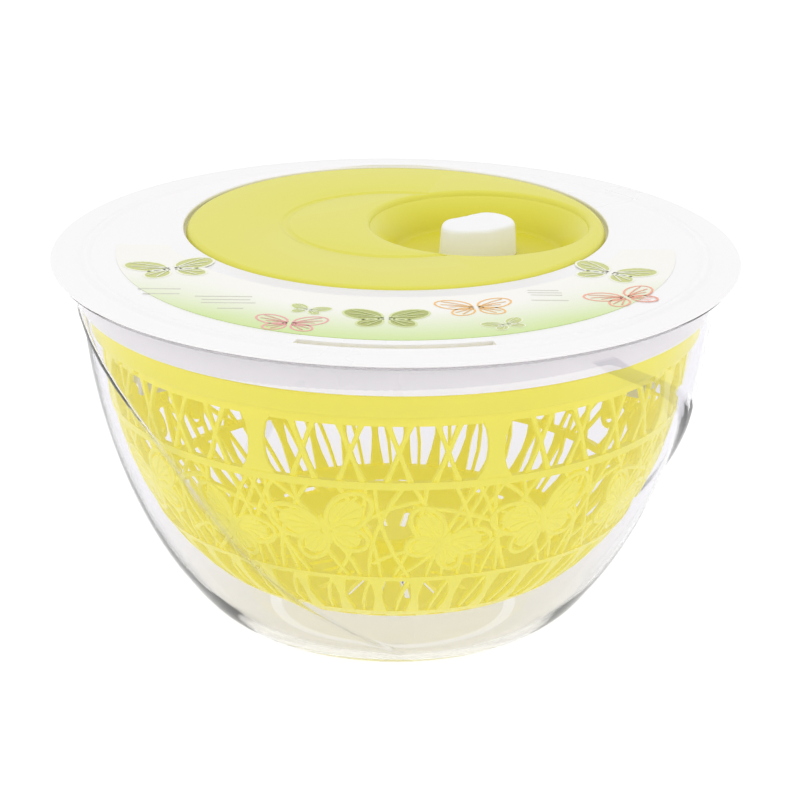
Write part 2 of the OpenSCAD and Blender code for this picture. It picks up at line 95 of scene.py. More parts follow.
def softbox(name, place, size, power):
    """A square area light at a place, turned to the middle of the spinner."""
    lamp = bpy.data.lights.new(name, "AREA")
    lamp.size = size
    lamp.energy = power
    box = bpy.data.objects.new(name, lamp)
    bpy.context.scene.collection.objects.link(box)
    box.location = place
    box.rotation_euler = (spinner_middle - Vector(place)).to_track_quat("-Z", "Y").to_euler()


softbox("softbox_top", (0.1, 0.3, 1.6), 1.2, 2.0)
softbox("softbox_left", (-1.3, -0.7, 0.9), 0.8, 2.5)
softbox("softbox_right", (1.2, -0.9, 0.7), 0.6, 2)

bpy.ops.mesh.primitive_plane_add(size=8, location=(0, 1, 0))
floor = bpy.context.object
floor.name = "floor"
bpy.ops.object.transform_apply(location=True, rotation=True, scale=True)
white_floor = bpy.data.materials.new("white_floor")
white_floor.use_nodes = True
table_top = white_floor.node_tree.nodes["Principled BSDF"]
table_top.inputs["Base Color"].default_value = (0.1, 0.1, 0.1, 1)
table_top.inputs["Roughness"].default_value = 0.7
table_top.inputs["Emission Color"].default_value = (1, 1, 1, 1)
table_top.inputs["Emission Strength"].default_value = 0.97
floor.data.materials.append(white_floor)

# --- Bowl -----------------------------------------------------------------------------------
# Clear styrene bowl, injection moulded in one piece. Three swirling ridges run down its
# outside, each a soft step, and its flange carries the lid. The basket's post is in its floor.
bowl_r = 118 * mm
bowl_foot_r = 48 * mm
bowl_wall_h = 137.6 * mm
bowl_wall = 2.2 * mm
bowl_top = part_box("bowl")[1].z
flange_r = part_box("bowl")[1].x
ridge_step = 2.6 * mm  # how far the wall falls behind a ridge's crest
ridge_count = 3
ridge_rise = 0.03  # the part of a ridge's turn in which its step rises
ridge_swirl = 80  # degrees
ridge_start = 195
ridge_sway = 6


def side_r(foot, top, s):
    """Radius of a flowing side from foot (s = 0) to top (s = 1), whose height goes as s squared."""
    return foot + (top - foot) * max(1 - max(1 - s * s, 0) ** 1.75, 0) ** 0.54


def radius_at(foot, top, height, z):
    """Radius of a flowing side at a height."""
    return side_r(foot, top, max(0, min(1, z / height)) ** 0.5)


def lathe(name, profile, centre=(0, 0), steps=144, cap_start=False, cap_end=False, closed=False):
    """A piece turned ring by ring about a vertical axis, from (radius, height) points."""
    bpy.ops.object.select_all(action="DESELECT")
    radius, height = profile[0]
    bpy.ops.mesh.primitive_circle_add(
        vertices=steps, radius=radius, location=(centre[0], centre[1], height),
        fill_type="NGON" if cap_start else "NOTHING")
    piece = bpy.context.object
    piece.name = name
    bpy.ops.object.transform_apply(location=True, rotation=True, scale=True)
    bpy.ops.object.mode_set(mode="EDIT")
    bpy.ops.mesh.select_mode(type="EDGE")
    bpy.ops.mesh.select_all(action="SELECT")
    if cap_start:
        bpy.ops.mesh.select_all(action="DESELECT")
        net = bmesh.from_edit_mesh(piece.data)
        for edge in net.edges:
            edge.select = True
        bmesh.update_edit_mesh(piece.data)
    for (r0, z0), (r1, z1) in zip(profile, profile[1:]):
        bpy.ops.mesh.extrude_edges_move(TRANSFORM_OT_translate={"value": (0, 0, z1 - z0)})
        if r1 != r0:
            bpy.ops.transform.resize(value=(r1 / r0, r1 / r0, 1),
                                     center_override=(centre[0], centre[1], z1))
    if cap_end:
        bpy.ops.mesh.edge_face_add()
    bpy.ops.mesh.select_all(action="SELECT")
    if closed:
        bpy.ops.mesh.remove_doubles(threshold=1e-6)
    bpy.ops.mesh.normals_make_consistent(inside=False)
    bpy.ops.object.mode_set(mode="OBJECT")
    return piece


def smooth(piece, angle=40):
    """Shades a piece smooth, with its edges sharper than the angle kept crisp."""
    bpy.ops.object.select_all(action="DESELECT")
    bpy.context.view_layer.objects.active = piece
    piece.select_set(True)
    bpy.ops.object.shade_smooth_by_angle(angle=radians(angle))


def arc(centre_r, centre_z, radius, start, end, steps=6):
    """Points of a rounded corner in a profile, by its centre, radius and angles in degrees."""
    angles = [radians(start + (end - start) * i / steps) for i in range(steps + 1)]
    return [(centre_r + radius * cos(a), centre_z + radius * sin(a)) for a in angles]


def ridge_turn(z):
    """How far round the ridges have swirled at a height, in radians."""
    t = (124.5 * mm - z) / (114 * mm)
    sway = ridge_sway * sin(2 * pi * max(0, min(1, t)))
    return radians(ridge_start + ridge_swirl * t + sway)


def fade(z, low, high):
    """0 below low and 1 above high, with a soft start and end."""
    t = max(0, min(1, (z - low) / (high - low)))
    return t * t * (3 - 2 * t)


side_steps = 44
outside = [(side_r(bowl_foot_r, bowl_r, i / side_steps), bowl_wall_h * (i / side_steps) ** 2)
           for i in range(1, side_steps + 1)]
flange = (
    [(bowl_r + 0.6 * mm, bowl_wall_h + 0.1 * mm)]
    + arc(flange_r - 0.5 * mm, bowl_wall_h + 0.6 * mm, 0.5 * mm, -90, 0, 3)
    + arc(flange_r - 0.5 * mm, bowl_top - 0.5 * mm, 0.5 * mm, 0, 90, 3)
    + arc(bowl_r - bowl_wall + 0.6 * mm, bowl_top - 0.6 * mm, 0.6 * mm, 90, 180, 3)
)
inside = [(r - bowl_wall * (0.9 + 0.1 * z / bowl_wall_h),
           z + bowl_wall * (1 - z / bowl_wall_h) ** 2)
          for r, z in reversed(outside) if 4 * mm < z < bowl_wall_h - 3 * mm]
floor_in_z = 3.0 * mm
post_r = 4 * mm
post_top = 26.8 * mm
post = (
    [(bowl_foot_r - 4 * mm, floor_in_z), (post_r + 2.5 * mm, floor_in_z),
     (post_r + 0.8 * mm, floor_in_z + 0.6 * mm), (post_r, floor_in_z + 2 * mm),
     (post_r, post_top - 1.6 * mm), (post_r * 0.82, post_top - 0.7 * mm), (post_r * 0.5, post_top)]
)
foot_hollow = 0.8 * mm
foot = [(2 * mm, foot_hollow), (bowl_foot_r - 7 * mm, foot_hollow), (bowl_foot_r - 5.4 * mm, 0),
        (bowl_foot_r - 1 * mm, 0), (bowl_foot_r + 0.4 * mm, 0.2 * mm)]
bowl = lathe("clear_bowl", foot + outside[2:] + flange + inside + post, steps=216,
             cap_start=True, cap_end=True)
ridge_pitch = 2 * pi / ridge_count
# Faces on each ridge's step take a darker grey copy of the clear material: a painted shade band
# along each ridge.
for face in bowl.data.polygons:
    x, y, z = face.center
    away = -Vector((x, y)).angle_signed(Vector((1, 0)), 0) % ridge_pitch
    on_side = 12 * mm < z < 130 * mm and hypot(x, y) > bowl_foot_r
    face.material_index = 1 if on_side and away < radians(5) else 0
for v in bowl.data.vertices:
    x, y, z = v.co
    r = hypot(x, y)
    column = (Vector((x, y)).angle_signed(Vector((1, 0)), 0)) % (2 * pi)
    turned = column + ridge_turn(floor_in_z)
    if r > bowl_foot_r - 2 * mm:
        away = -column % ridge_pitch / ridge_pitch
        rising = away < ridge_rise
        dip = away / ridge_rise if rising else 1 - (away - ridge_rise) / (1 - ridge_rise)
        dip *= ridge_step
        dip *= fade(z, 6 * mm, 22 * mm) * (1 - fade(z, 124 * mm, 133 * mm))
        outer_side = r > radius_at(bowl_foot_r, bowl_r, bowl_wall_h, z) - 0.5 * mm
        r -= dip if outer_side else dip * 0.5
        turned = column + ridge_turn(z)
    v.co.x = r * cos(turned)
    v.co.y = r * sin(turned)
smooth(bowl)

clear_styrene = bpy.data.materials.new("clear_styrene")
clear_styrene.use_nodes = True
tree = clear_styrene.node_tree
shell = tree.nodes["Principled BSDF"]
shell.inputs["Transmission Weight"].default_value = 1
shell.inputs["IOR"].default_value = 1.1
shell.inputs["Coat Weight"].default_value = 0.35
place = tree.nodes.new("ShaderNodeTexCoord")
flow = tree.nodes.new("ShaderNodeTexNoise")
flow.inputs["Scale"].default_value = 22
flow.inputs["Detail"].default_value = 3
tree.links.new(place.outputs["Object"], flow.inputs["Vector"])
split = tree.nodes.new("ShaderNodeSeparateXYZ")
tree.links.new(place.outputs["Object"], split.inputs["Vector"])
height = tree.nodes.new("ShaderNodeMapRange")
height.inputs["From Min"].default_value = 5 * mm
height.inputs["From Max"].default_value = 45 * mm
tree.links.new(split.outputs["Z"], height.inputs["Value"])
tint = tree.nodes.new("ShaderNodeMix")
tint.data_type = "RGBA"
tint.inputs["A"].default_value = (0.86, 0.84, 0.77, 1)
tint.inputs["B"].default_value = (0.885, 0.877, 0.905, 1)
tree.links.new(height.outputs["Result"], tint.inputs["Factor"])
tree.links.new(tint.outputs["Result"], shell.inputs["Base Color"])
haze = tree.nodes.new("ShaderNodeMapRange")
haze.inputs["To Min"].default_value = 0.015
haze.inputs["To Max"].default_value = 0.04
tree.links.new(flow.outputs["Fac"], haze.inputs["Value"])
tree.links.new(haze.outputs["Result"], shell.inputs["Roughness"])
ripple = tree.nodes.new("ShaderNodeBump")
ripple.inputs["Strength"].default_value = 0.06
ripple.inputs["Distance"].default_value = 0.002
tree.links.new(flow.outputs["Fac"], ripple.inputs["Height"])
tree.links.new(ripple.outputs["Normal"], shell.inputs["Normal"])
bowl.data.materials.append(clear_styrene)
# Darker grey copy of the clear material for the ridge steps: painted shade standing in for the
# ridges' shading.
ridge_painted_shade = clear_styrene.copy()
ridge_painted_shade.name = "ridge_painted_shade"
ridge_painted_shade.node_tree.nodes["Mix"].inputs["B"].default_value = (0.77, 0.76, 0.80, 1)
bowl.data.materials.append(ridge_painted_shade)
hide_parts("bowl")
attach(bowl, "bowl")

# --- Basket ---------------------------------------------------------------------------------
# Lime polypropylene basket, moulded in one piece: a plain rim band, two rails, and between
# them crossed bars, twigs and openwork butterflies. Its hub runs on the bowl's post.
basket_foot_r = 50 * mm
basket_z = 19.4 * mm
basket_wall = 2.2 * mm
basket_low, basket_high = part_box("basket")
basket_top = basket_high.z
basket_rim_r = basket_high.x
basket_r = basket_rim_r - 3.5 * mm
band_low = 113 * mm
basket_h = band_low - basket_z
upper_rail = (88.2 * mm, 91.1 * mm)
lower_rail = (47.5 * mm, 49.5 * mm)
slot_band = (19.4 * mm, 29 * mm)
panel_count = 8
wrap_r = 100 * mm
panel_w = 2 * pi / panel_count * wrap_r
first_post = 244  # degrees round the basket


def basket_at(z):
    """Outer radius of the basket's wall at a height."""
    return radius_at(basket_foot_r, basket_r, basket_h, z - basket_z)


def basket_ring(name, low, high, proud=0, steps=4):
    """A plain band of the basket's wall between two heights, standing a little proud."""
    heights = [low + (high - low) * i / steps for i in range(steps + 1)]
    outer = [(basket_at(z) + proud, z) for z in heights]
    inner = [(basket_at(z) - basket_wall, z) for z in reversed(heights)]
    return lathe(name, outer + inner + outer[:1], steps=180, closed=True)


def strip(course, widths, lift=0):
    """Adds one flat bar to the net being edited, along (x, y) points with a width at each."""
    if not isinstance(widths, (list, tuple)):
        widths = [widths] * len(course)
    last = len(course) - 1
    bpy.ops.mesh.primitive_grid_add(x_subdivisions=last, y_subdivisions=1, size=2)
    net = bmesh.from_edit_mesh(bpy.context.object.data)
    for v in net.verts:
        if not v.select:
            continue
        i = round((v.co.x + 1) / 2 * last)
        before, after = course[max(i - 1, 0)], course[min(i + 1, last)]
        along = (Vector(after) - Vector(before)).normalized()
        side = Vector((-along.y, along.x)) * widths[i] / 2 * (1 if v.co.y > 0 else -1)
        v.co = Vector((course[i][0] + side.x, course[i][1] + side.y, lift))
    bmesh.update_edit_mesh(bpy.context.object.data)


def line(start, end, steps=4, bow=0):
    """Points from start to end, bowed sideways in the middle."""
    start, end = Vector(start), Vector(end)
    side = Vector((-(end - start).y, (end - start).x)).normalized()
    return [tuple(start.lerp(end, i / steps) + side * bow * (1 - (2 * i / steps - 1) ** 2))
            for i in range(steps + 1)]


def oval(centre, radii, turn, steps=16):
    """Closed course of an ellipse."""
    spin = Matrix.Rotation(radians(turn), 2)
    points = []
    for i in range(steps + 1):
        a = 2 * pi * i / steps
        offset = spin @ Vector((radii[0] * cos(a), radii[1] * sin(a)))
        points.append((centre[0] + offset.x, centre[1] + offset.y))
    return points


wings = [  # middle and reach both ways as shares of the span, and lean in degrees, of each wing
    ((0.27, 0.15), (0.25, 0.17), 32),
    ((0.19, -0.14), (0.17, 0.13), -38),
]


def butterfly(centre, span, turn, bar, lift=0, steps=16):
    """A plain openwork butterfly: four oval wings with veins, and a slim body."""
    spin = Matrix.Rotation(radians(turn), 2)

    def put(x, y):
        offset = spin @ Vector((x * span, y * span))
        return (centre[0] + offset.x, centre[1] + offset.y)

    vein, vein_lift = bar * 0.6, lift + 0.1 * mm
    for side in (-1, 1):
        for (x, y), (long, short), lean in wings:
            strip(oval(put(side * x, y), (long * span, short * span), turn + side * lean, steps),
                  bar, lift)
        for x, y in ((0.40, 0.30), (0.43, 0.18), (0.34, 0.07)):
            strip(line(put(side * 0.03, 0.02), put(side * x, y), 3, side * 0.02 * span),
                  vein, vein_lift)
        for x, y in ((0.30, -0.16), (0.22, -0.24)):
            strip(line(put(side * 0.03, -0.02), put(side * x, y), 3), vein, vein_lift)
    strip(line(put(0, -0.16), put(0, 0.18), 4),
          [bar * 0.6, bar * 1.2, bar * 1.5, bar * 1.2, bar * 0.5], lift - 0.1 * mm)


def wing_fill(centre, span, turn, lift):
    """Solid wings under a butterfly's outlines."""
    for side in (-1, 1):
        for middle, radii, lean in wings:
            spin = Matrix.Rotation(radians(turn), 2) @ Vector((side * middle[0] * span,
                                                               middle[1] * span))
            bpy.ops.mesh.primitive_circle_add(vertices=24, radius=1, fill_type="NGON")
            net = bmesh.from_edit_mesh(bpy.context.object.data)
            lean_by = Matrix.Rotation(radians(turn + side * lean), 2)
            for v in net.verts:
                if v.select:
                    offset = lean_by @ Vector((v.co.x * radii[0] * span,
                                               v.co.y * radii[1] * span))
                    v.co = Vector((centre[0] + spin.x + offset.x,
                                   centre[1] + spin.y + offset.y, lift))
            bmesh.update_edit_mesh(bpy.context.object.data)


def bare_net(name):
    """An empty mesh, open for adding strips."""
    bpy.ops.object.select_all(action="DESELECT")
    bpy.ops.mesh.primitive_plane_add(size=1)
    net = bpy.context.object
    net.name = name
    bpy.ops.object.mode_set(mode="EDIT")
    bpy.ops.mesh.delete(type="VERT")
    return net


# One panel, laid out flat: x along the wall, y up it, 0 at the middle of a solid post
panel = bare_net("basket_panel")
bar_step = panel_w / 5
bite = 0.6 * mm  # how far a bar runs into the rail it ends on
cross_low, cross_high = upper_rail[1] - bite, band_low + bite
for k in range(1, 5):
    x = bar_step * k
    for side, lift in ((-1, 0.2 * mm), (1, 0.35 * mm)):
        strip(line((x - side * 4.0 * mm, cross_low), (x + side * 4.0 * mm, cross_high), 6, 0),
              [2.4 * mm, 1.7 * mm, 1.5 * mm, 1.8 * mm, 1.5 * mm, 1.7 * mm, 2.4 * mm], lift)
post_widths = [13 * mm, 8.4 * mm, 6.2 * mm, 5.6 * mm, 6.0 * mm, 7.4 * mm, 11 * mm]
strip(line((0, cross_low), (0, cross_high), 6), post_widths, -0.2 * mm)
middle_low, middle_high = lower_rail[1] - bite, upper_rail[0] + bite
middle_h = middle_high - middle_low
for x, y, span, turn, bar in ((0.28, 0.52, 38, 16, 1.9), (0.80, 0.40, 32, -28, 1.8)):
    place = (panel_w * x, middle_low + middle_h * y)
    wing_fill(place, span * 0.82 * mm, turn, 0.3 * mm)
    butterfly(place, span * mm, turn, bar * mm, 0)
twigs = [  # bottom end, top end and bow of each twig, as shares of the panel and millimetres
    (0.02, 0.22, 3), (0.10, -0.06, -2), (0.16, 0.02, 3), (0.30, 0.46, -3), (0.36, 0.14, 2),
    (0.46, 0.62, 3), (0.52, 0.34, -3), (0.58, 0.72, -2), (0.66, 0.50, 3), (0.74, 0.94, 2),
    (0.82, 0.66, -3), (0.90, 1.06, 3), (0.98, 0.84, -2), (0.60, 0.98, -4), (0.42, 0.04, -4),
]
for i, (low, high, bow) in enumerate(twigs):
    strip(line((low * panel_w, middle_low), (high * panel_w, middle_high), 6, bow * mm),
          1.5 * mm, (0.25 + 0.12 * (i % 4)) * mm)
side_twigs = [  # start and end of each leaning twig, along and up, as shares of the panel
    (-0.05, 0.30, 0.30, 0.52), (0.44, 0.62, 0.70, 0.86), (0.66, 0.80, 1.02, 0.60),
    (0.48, 0.16, 0.72, 0.34),
]
for start, low, end, high in side_twigs:
    strip(line((start * panel_w, middle_low + low * middle_h),
               (end * panel_w, middle_low + high * middle_h), 5, 1.5 * mm), 1.6 * mm, 0.5 * mm)
lower_low, lower_high = slot_band[1] - bite, lower_rail[0] + bite
for k in range(5):
    x = bar_step * (k + 0.5)
    strip(line((x, lower_low), (x, lower_high), 4),
          [7.5 * mm, 4.6 * mm, 3.0 * mm, 4.2 * mm, 7.0 * mm], 0)
    strip(line((x - bar_step * 0.5, lower_low), (x - bar_step * 0.15, lower_high), 3, 1 * mm),
          1.6 * mm, 0.4 * mm)
bpy.ops.mesh.select_all(action="SELECT")
bpy.ops.mesh.remove_doubles(threshold=1e-6)
bpy.ops.object.mode_set(mode="OBJECT")


def join(parts):
    """Joins parts into the first of them."""
    bpy.ops.object.select_all(action="DESELECT")
    for part in parts:
        part.select_set(True)
    bpy.context.view_layer.objects.active = parts[0]
    bpy.ops.object.join()
    return parts[0]


lattice_parts = []
for k in range(panel_count):
    bpy.ops.object.select_all(action="DESELECT")
    panel.select_set(True)
    bpy.context.view_layer.objects.active = panel
    bpy.ops.object.duplicate()
    part = bpy.context.object
    start = radians(first_post + 360 / panel_count * k)
    for v in part.data.vertices:
        turned = start + v.co.x / wrap_r
        r = basket_at(v.co.y) - v.co.z
        v.co = Vector((r * cos(turned), r * sin(turned), v.co.y))
    lattice_parts.append(part)
bpy.data.objects.remove(panel)
lattice = join(lattice_parts)
bpy.ops.object.mode_set(mode="EDIT")
bpy.ops.mesh.select_all(action="SELECT")
bpy.ops.mesh.normals_make_consistent(inside=False)
net = bmesh.from_edit_mesh(lattice.data)
for face in net.faces:
    middle = face.calc_center_median()
    if face.normal.dot(Vector((middle.x, middle.y, 0))) < 0:
        face.normal_flip()
bmesh.update_edit_mesh(lattice.data)
bpy.ops.object.mode_set(mode="OBJECT")


def shape(piece, kind, **settings):
    """Adds a modifier to a piece and applies it."""
    bpy.ops.object.select_all(action="DESELECT")
    bpy.context.view_layer.objects.active = piece
    piece.select_set(True)
    step = piece.modifiers.new(kind.lower(), kind)
    for key, value in settings.items():
        setattr(step, key, value)
    bpy.ops.object.modifier_apply(modifier=step.name)


lattice_t = 1.7 * mm
shape(lattice, "SOLIDIFY", thickness=lattice_t, offset=-1)
shape(lattice, "BEVEL", width=0.3 * mm, segments=1, limit_method="ANGLE", angle_limit=radians(50))

rim_in_r = basket_rim_r - basket_wall
rim_profile = (
    [(basket_r - basket_wall, band_low - bite), (basket_r, band_low - bite), (basket_r, band_low),
     (basket_r + 0.3 * mm, basket_top - 8.8 * mm), (basket_r + 0.6 * mm, basket_top - 8.3 * mm)]
    + arc(basket_rim_r - 0.7 * mm, basket_top - 7.4 * mm, 0.7 * mm, -90, 0, 4)
    + arc(basket_rim_r - 0.8 * mm, basket_top - 0.8 * mm, 0.8 * mm, 0, 90, 4)
    + arc(rim_in_r + 0.4 * mm, basket_top - 0.4 * mm, 0.4 * mm, 90, 180, 3)
    + [(rim_in_r, basket_top - 6 * mm), (basket_r - basket_wall, basket_top - 11 * mm)]
)
rim = lathe("basket_rim", rim_profile + rim_profile[:1], steps=180, closed=True)
rails = [basket_ring("upper_rail", *upper_rail, proud=0.25 * mm),
         basket_ring("lower_rail", *lower_rail, proud=0.2 * mm)]

bush_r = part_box("basket_bush")[1].x
hub_r = bush_r + 2.4 * mm
hub_low = basket_low.z
hub_bore_r = bush_r + 0.03 * mm
hub_top = 29.1 * mm
floor_steps = 8
base_heights = [basket_z + (slot_band[1] - basket_z) * (i / floor_steps) ** 2
                for i in range(floor_steps + 1)]
base_out = [(basket_at(z), z) for z in base_heights]
base_in = [(r - basket_wall * 0.8, z + basket_wall * 0.8) for r, z in reversed(base_out[:-1])]
base_profile = (
    [(hub_bore_r, hub_top - 2 * mm), (hub_bore_r, hub_low + 0.5 * mm),
     (hub_bore_r + 0.5 * mm, hub_low), (hub_r - 0.5 * mm, hub_low), (hub_r, hub_low + 0.5 * mm),
     (hub_r, basket_z - 0.8 * mm), (hub_r + 0.8 * mm, basket_z)]
    + base_out + [(base_out[-1][0] - basket_wall, slot_band[1])] + base_in
    + [(hub_r + 1 * mm, basket_z + basket_wall), (hub_r, basket_z + basket_wall + 1 * mm),
       (hub_r, hub_top - 1 * mm), (hub_r - 1 * mm, hub_top)]
)
base = lathe("basket_base", base_profile, steps=180, cap_start=True, cap_end=True)


def cut(piece, cutter, operation="DIFFERENCE"):
    """Cuts a piece with a cutter, or welds the two, and removes the cutter."""
    shape(piece, "BOOLEAN", operation=operation, object=cutter, solver="EXACT")
    bpy.data.objects.remove(cutter)


def cut_ring(piece, count, size, radius, height):
    """Cuts a ring of round-ended slots through a piece, each size (across, up, deep)."""
    cutters = []
    for i in range(count):
        bpy.ops.object.select_all(action="DESELECT")
        bpy.ops.mesh.primitive_cube_add(size=1)
        cutter = bpy.context.object
        cutter.scale = (size[2], size[0], size[1])
        bpy.ops.object.transform_apply(location=False, rotation=False, scale=True)
        shape(cutter, "BEVEL", width=min(size[0], size[1]) * 0.35, segments=2, affect="EDGES")
        cutter.data.transform(
            Matrix.Rotation(2 * pi * (i + 0.5) / count, 4, "Z")
            @ Matrix.Translation((radius, 0, height)))
        cutters.append(cutter)
    cut(piece, join(cutters))


side_slot_z = 24.6 * mm
cut_ring(base, 40, (6.5 * mm, 2.0 * mm, 16 * mm), basket_at(side_slot_z), side_slot_z)
cut_ring(base, 24, (2.4 * mm, 8 * mm, 20 * mm), 34 * mm, basket_z + 1 * mm)

dog_gap = 8 * mm
dog_w, dog_h = 4 * mm, 8 * mm
dogs = []
driver_r = basket_r - 3.5 * mm
dog_in_r, dog_out_r = driver_r - 4 * mm, rim_in_r + 0.4 * mm
for k in range(3):
    for side in (-1, 1):
        bpy.ops.object.select_all(action="DESELECT")
        bpy.ops.mesh.primitive_cube_add(size=1)
        dog = bpy.context.object
        dog.scale = (dog_out_r - dog_in_r, dog_w, dog_h)
        bpy.ops.object.transform_apply(location=False, rotation=False, scale=True)
        shape(dog, "BEVEL", width=0.5 * mm, segments=2)
        dog.data.transform(
            Matrix.Rotation(radians(90 + 120 * k), 4, "Z")
            @ Matrix.Translation(((dog_in_r + dog_out_r) / 2, side * (dog_gap + dog_w) / 2,
                                  band_low + 4.4 * mm)))
        dogs.append(dog)

basket = join([lattice, rim, base] + rails + dogs)
basket.name = "lime_basket"
smooth(basket)


def moulded_plastic(name, colour, rough, mottle=0.03, grain=900, bump=0.04, glow=0):
    """Moulded plastic: a faint mottle in colour and gloss, and a fine mould grain."""
    material = bpy.data.materials.new(name)
    material.use_nodes = True
    tree = material.node_tree
    skin = tree.nodes["Principled BSDF"]
    place = tree.nodes.new("ShaderNodeTexCoord")
    cloud = tree.nodes.new("ShaderNodeTexNoise")
    cloud.inputs["Scale"].default_value = 18
    cloud.inputs["Detail"].default_value = 4
    tree.links.new(place.outputs["Object"], cloud.inputs["Vector"])
    blend = tree.nodes.new("ShaderNodeMix")
    blend.data_type = "RGBA"
    blend.inputs["A"].default_value = (*[max(0, c - mottle) for c in colour], 1)
    blend.inputs["B"].default_value = (*[min(1, c + mottle) for c in colour], 1)
    tree.links.new(cloud.outputs["Fac"], blend.inputs["Factor"])
    tree.links.new(blend.outputs["Result"], skin.inputs["Base Color"])
    gloss = tree.nodes.new("ShaderNodeMapRange")
    gloss.inputs["To Min"].default_value = rough - 0.05
    gloss.inputs["To Max"].default_value = rough + 0.07
    tree.links.new(cloud.outputs["Fac"], gloss.inputs["Value"])
    tree.links.new(gloss.outputs["Result"], skin.inputs["Roughness"])
    fine = tree.nodes.new("ShaderNodeTexNoise")
    fine.inputs["Scale"].default_value = grain
    tree.links.new(place.outputs["Object"], fine.inputs["Vector"])
    texture = tree.nodes.new("ShaderNodeBump")
    texture.inputs["Strength"].default_value = bump
    texture.inputs["Distance"].default_value = 0.0005
    tree.links.new(fine.outputs["Fac"], texture.inputs["Height"])
    tree.links.new(texture.outputs["Normal"], skin.inputs["Normal"])
    # Optional glow: emission that paints light onto a part that is no lamp.
    if glow:
        skin.inputs["Emission Color"].default_value = (*colour, 1)
        skin.inputs["Emission Strength"].default_value = glow
    return material


def paint(piece, material):
    """Gives the whole of a piece one material."""
    piece.data.materials.clear()
    piece.data.materials.append(material)
    for face in piece.data.polygons:
        face.material_index = 0


# The basket's glow is painted light: emission that brightens its shaded inside and far wall.
basket_lime = moulded_plastic("basket_lime", (0.94, 0.87, 0.09), 0.30, 0.02, 500, 0.03, glow=0.19)
paint(basket, basket_lime)
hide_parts("basket")
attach(basket, "basket")

# --- Lid ------------------------------------------------------------------------------------
# White plastic lid, moulded in one piece: a plate with a raised bead near its edge, a skirt
# that drops inside the bowl, a drain slot at the front, and a two-step pan for the crank disc.
lid_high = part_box("lid")[1]
lid_r = lid_high.x
lid_z = 139.5 * mm
band_top = lid_top - 0.4 * mm
skirt_r = 114.86 * mm
skirt_in_r = skirt_r - 2 * mm
skirt_low = lid_z - 14 * mm
bead_r = skirt_r - 1.7 * mm
bead_top = lid_high.z
disc_y = 32.25 * mm
disc_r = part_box("turning_disc")[1].x
pan_r = disc_r + 1 * mm
pan_t = 1.8 * mm
ledge_z = 133 * mm
deep_r = 70.97 * mm
deep_z = 125 * mm
housing_r = 54.6 * mm

plate_profile = (
    [(5 * mm, lid_z), (skirt_in_r - 0.8 * mm, lid_z)]
    + arc(skirt_in_r - 0.8 * mm, lid_z - 0.8 * mm, 0.8 * mm, 90, 0, 4)
    + arc(skirt_in_r + 0.6 * mm, skirt_low + 0.6 * mm, 0.6 * mm, 180, 270, 4)
    + arc(skirt_r - 0.6 * mm, skirt_low + 0.6 * mm, 0.6 * mm, -90, 0, 4)
    + [(skirt_r, lid_z - 0.5 * mm), (skirt_r + 0.5 * mm, lid_z), (lid_r - 0.5 * mm, lid_z)]
    + arc(lid_r - 0.5 * mm, lid_z + 0.5 * mm, 0.5 * mm, -90, 0, 4)
    + arc(lid_r - 0.5 * mm, band_top - 0.5 * mm, 0.5 * mm, 0, 90, 4)
    + [(bead_r + 3.2 * mm, band_top), (bead_r + 2.3 * mm, band_top + 0.08 * mm),
       (bead_r + 1.6 * mm, lid_top + 0.1 * mm), (bead_r + 0.9 * mm, bead_top - 0.12 * mm),
       (bead_r, bead_top), (bead_r - 0.9 * mm, bead_top - 0.12 * mm),
       (bead_r - 1.7 * mm, lid_top + 0.12 * mm), (bead_r - 2.6 * mm, lid_top), (5 * mm, lid_top)]
)
lid = lathe("white_lid", plate_profile + plate_profile[:1], steps=216, closed=True)
hole_profile = (
    [(pan_r, lid_z - 2 * mm), (pan_r, lid_top - 0.5 * mm)]
    + arc(pan_r + 0.5 * mm, lid_top - 0.5 * mm, 0.5 * mm, 180, 100, 3)
    + [(pan_r + 0.5 * mm, lid_top + 2 * mm)]
)
cut(lid, lathe("pan_hole", hole_profile, centre=(0, disc_y), steps=180,
               cap_start=True, cap_end=True))

slot_out_r = skirt_r - 3 * mm
slot_w = 5.2 * mm
slot_half = radians(17.9)
slot_in_r = slot_out_r - slot_w
slot_low, slot_high = lid_z - 2 * mm, lid_top + 2 * mm
slot_profile = [(slot_in_r, slot_low), (slot_out_r, slot_low), (slot_out_r, slot_high),
                (slot_in_r, slot_high), (slot_in_r, slot_low)]
slot_cutter = lathe("slot_cutter", slot_profile, steps=360, closed=True)
bpy.ops.object.mode_set(mode="EDIT")
net = bmesh.from_edit_mesh(slot_cutter.data)
for face in net.faces:
    middle = face.calc_center_median()
    face.select = abs(Vector((0, -1)).angle(Vector((middle.x, middle.y)))) > slot_half
bmesh.update_edit_mesh(slot_cutter.data)
bpy.ops.mesh.select_mode(type="FACE")
bpy.ops.mesh.delete(type="FACE")
bpy.ops.mesh.select_mode(type="EDGE")
bpy.ops.mesh.select_all(action="DESELECT")
bpy.ops.mesh.select_non_manifold()
bpy.ops.mesh.edge_face_add()
bpy.ops.mesh.select_all(action="SELECT")
bpy.ops.mesh.normals_make_consistent(inside=False)
bpy.ops.object.mode_set(mode="OBJECT")
cut(lid, slot_cutter)
shape(lid, "BEVEL", width=0.35 * mm, segments=2, limit_method="ANGLE", angle_limit=radians(60))

